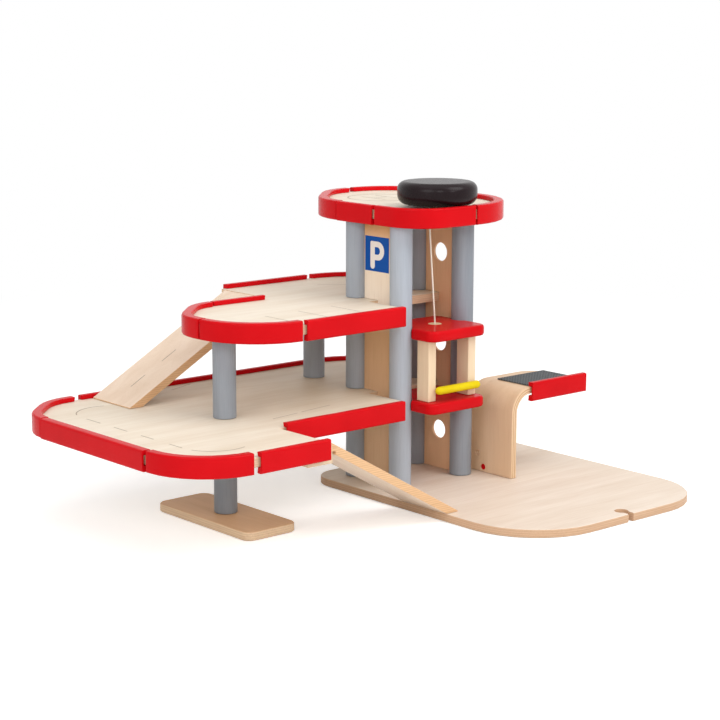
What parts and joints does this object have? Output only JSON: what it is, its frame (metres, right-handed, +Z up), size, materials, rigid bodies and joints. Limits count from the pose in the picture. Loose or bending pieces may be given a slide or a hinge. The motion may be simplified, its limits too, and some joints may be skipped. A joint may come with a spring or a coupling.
{
  "type": "toy parking garage",
  "caption": "Wooden toy parking garage with stacked decks on round posts, sloping ramps, a bent plywood canopy and a lift cabin hung on a cord from a hand-wound knob.",
  "frame": {"origin": "centre of the whole outline at the level of the floor that the base and the foot stand on", "axes": "+Z up; +X along the longest side, from the large lower deck towards the lift tower and the canopy; +Y from the track slot in the base towards the back of the decks"},
  "size_m": [0.6306, 0.4666, 0.3502],
  "materials": {
    "birch": "clear satin lacquer on plywood and solid wood",
    "red_paint": "gloss red paint on wood",
    "grey_paint": "satin grey stain on dowel",
    "black_lacquer": "gloss near-black lacquer on wood",
    "yellow_paint": "satin yellow paint on wood",
    "grey_pad": "matte textured grey sheet",
    "cotton_cord": "twisted off-white cord",
    "steel": "plated"
  },
  "bodies": {
    "garage": {"lift_post_left": "grey_paint", "lift_post_right": "grey_paint", "rear_left_post_lower": "grey_paint", "rear_left_post_middle": "grey_paint", "rear_left_post_upper": "grey_paint", "rear_right_post_lower": "grey_paint", "rear_right_post_middle": "grey_paint", "rear_right_post_upper": "grey_paint", "leg_lower": "grey_paint", "leg_upper": "grey_paint", "back_leg": "grey_paint", "base_plate": "birch", "foot_plate": "birch", "deck_1": "birch", "deck_2": "birch", "deck_1_rail_left_arc": "red_paint", "deck_1_rail_left": "red_paint", "deck_1_rail_front_arc": "red_paint", "deck_1_rail_front": "red_paint", "deck_1_rail_shaft_side": "red_paint", "deck_1_rail_back_arc": "red_paint", "deck_1_rail_back": "red_paint", "deck_2_rail_left_arc": "red_paint", "deck_2_rail_front_arc": "red_paint", "deck_2_rail_front": "red_paint", "deck_2_rail_inner": "red_paint", "deck_2_rail_back_arc": "red_paint", "deck_2_rail_back": "red_paint", "roof_rail_front": "red_paint", "roof_rail_right_arc": "red_paint", "roof_rail_back": "red_paint", "roof_rail_left_arc": "red_paint", "roof_rail_left": "red_paint", "roof_deck": "birch", "panel_left": "birch", "panel_right": "birch", "lower_ramp": "birch", "upper_ramp": "birch", "lower_ramp_batten": "birch", "upper_ramp_batten": "birch", "lift_cord": "cotton_cord", "canopy": "birch", "canopy_wall_plug": "red_paint", "canopy_strip": "red_paint", "canopy_pad": "grey_pad"},
    "lift": {"cabin_floor": "red_paint", "cabin_top": "red_paint", "cabin_cord_plug": "birch", "cabin_post_left": "birch", "cabin_post_right": "birch", "barrier_pivot": "steel", "cord_knot": "cotton_cord"},
    "winder": {"winding_knob": "black_lacquer", "winding_drum": "birch", "wound_cord": "cotton_cord", "shaft_keeper_screw": "steel"},
    "barrier": {"barrier_bar": "yellow_paint"}
  },
  "joints": [
    {"name": "lift_slide", "type": "slide", "parent": "garage", "child": "lift", "axis": [0, 0, 1], "range_m": [-0.087, 0.112], "deforming": ["lift_cord"]},
    {"name": "knob_turn", "type": "hinge", "parent": "garage", "child": "winder", "pos_m": [0.11055, 0.00635, 0.33], "axis": [0, 0, 1], "range_deg": [-645, 502]},
    {"name": "barrier_swing", "type": "hinge", "parent": "lift", "child": "barrier", "pos_m": [0.13755, -0.02975, 0.1228], "axis": [0, 1, 0], "range_deg": [0, 62]}
  ],
  "couplings": [
    {"joint": "knob_turn", "follows": "lift_slide", "rad_per_m": -100}
  ]
}
